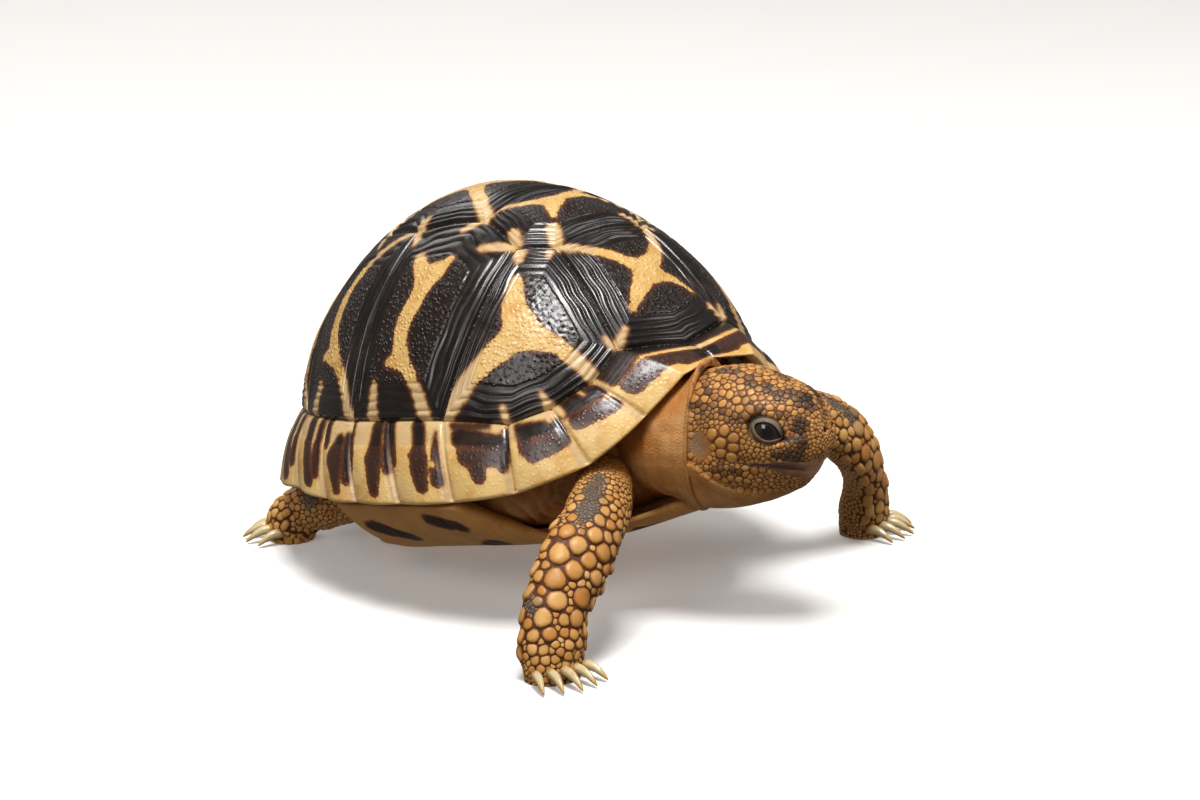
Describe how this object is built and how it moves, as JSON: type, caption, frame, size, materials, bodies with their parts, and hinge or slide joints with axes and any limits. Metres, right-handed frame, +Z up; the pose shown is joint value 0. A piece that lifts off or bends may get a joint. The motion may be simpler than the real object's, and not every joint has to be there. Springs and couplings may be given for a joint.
{
  "type": "young star tortoise, still model",
  "caption": "Life-size still model of a young star tortoise in mid-step: high domed starred shell, scaled forelegs, head turned slightly to its left.",
  "frame": {"origin": "on the floor, under the middle of the whole animal's box", "axes": "+Z up, the head looks along -Y and a little to +X, the animal's right side is -X"},
  "size_m": [0.0824, 0.0898, 0.0518],
  "materials": {
    "carapace_horn": "near-black glossy horn with straw-yellow rays, ridged by growth and pebbled in the middle of each plate",
    "plastron_horn": "cream horn with dark brown blotches, satin",
    "soft_skin": "soft orange-tan skin in fine folds",
    "scaled_skin": "tan scales in brown skin, satin",
    "eye": "wet near-black eye",
    "claw_horn": "translucent straw-coloured horn"
  },
  "bodies": {
    "root": {"claw_fore_left_1": "claw_horn", "claw_fore_left_2": "claw_horn", "claw_fore_left_3": "claw_horn", "claw_fore_left_4": "claw_horn", "claw_fore_left_5": "claw_horn", "claw_fore_right_1": "claw_horn", "claw_fore_right_2": "claw_horn", "claw_fore_right_3": "claw_horn", "claw_fore_right_4": "claw_horn", "claw_fore_right_5": "claw_horn", "claw_hind_left_1": "claw_horn", "claw_hind_left_2": "claw_horn", "claw_hind_left_3": "claw_horn", "claw_hind_left_4": "claw_horn", "claw_hind_right_1": "claw_horn", "claw_hind_right_2": "claw_horn", "claw_hind_right_3": "claw_horn", "claw_hind_right_4": "claw_horn", "costal_left_1": "carapace_horn", "costal_left_2": "carapace_horn", "costal_left_3": "carapace_horn", "costal_left_4": "carapace_horn", "costal_right_1": "carapace_horn", "costal_right_2": "carapace_horn", "costal_right_3": "carapace_horn", "costal_right_4": "carapace_horn", "eye_left": "eye", "eye_right": "eye", "foreleg_left": "scaled_skin", "foreleg_right": "scaled_skin", "head": "scaled_skin", "hindleg_left": "scaled_skin", "hindleg_right": "scaled_skin", "neck": "soft_skin", "plastron": "plastron_horn", "rim_left_bridge": "carapace_horn", "rim_left_front": "carapace_horn", "rim_left_rear": "carapace_horn", "rim_right_bridge": "carapace_horn", "rim_right_front": "carapace_horn", "rim_right_rear": "carapace_horn", "supracaudal": "carapace_horn", "tail": "scaled_skin", "trunk": "soft_skin", "vertebral_1": "carapace_horn", "vertebral_2": "carapace_horn", "vertebral_3": "carapace_horn", "vertebral_4": "carapace_horn", "vertebral_5": "carapace_horn"}
  },
  "joints": []
}
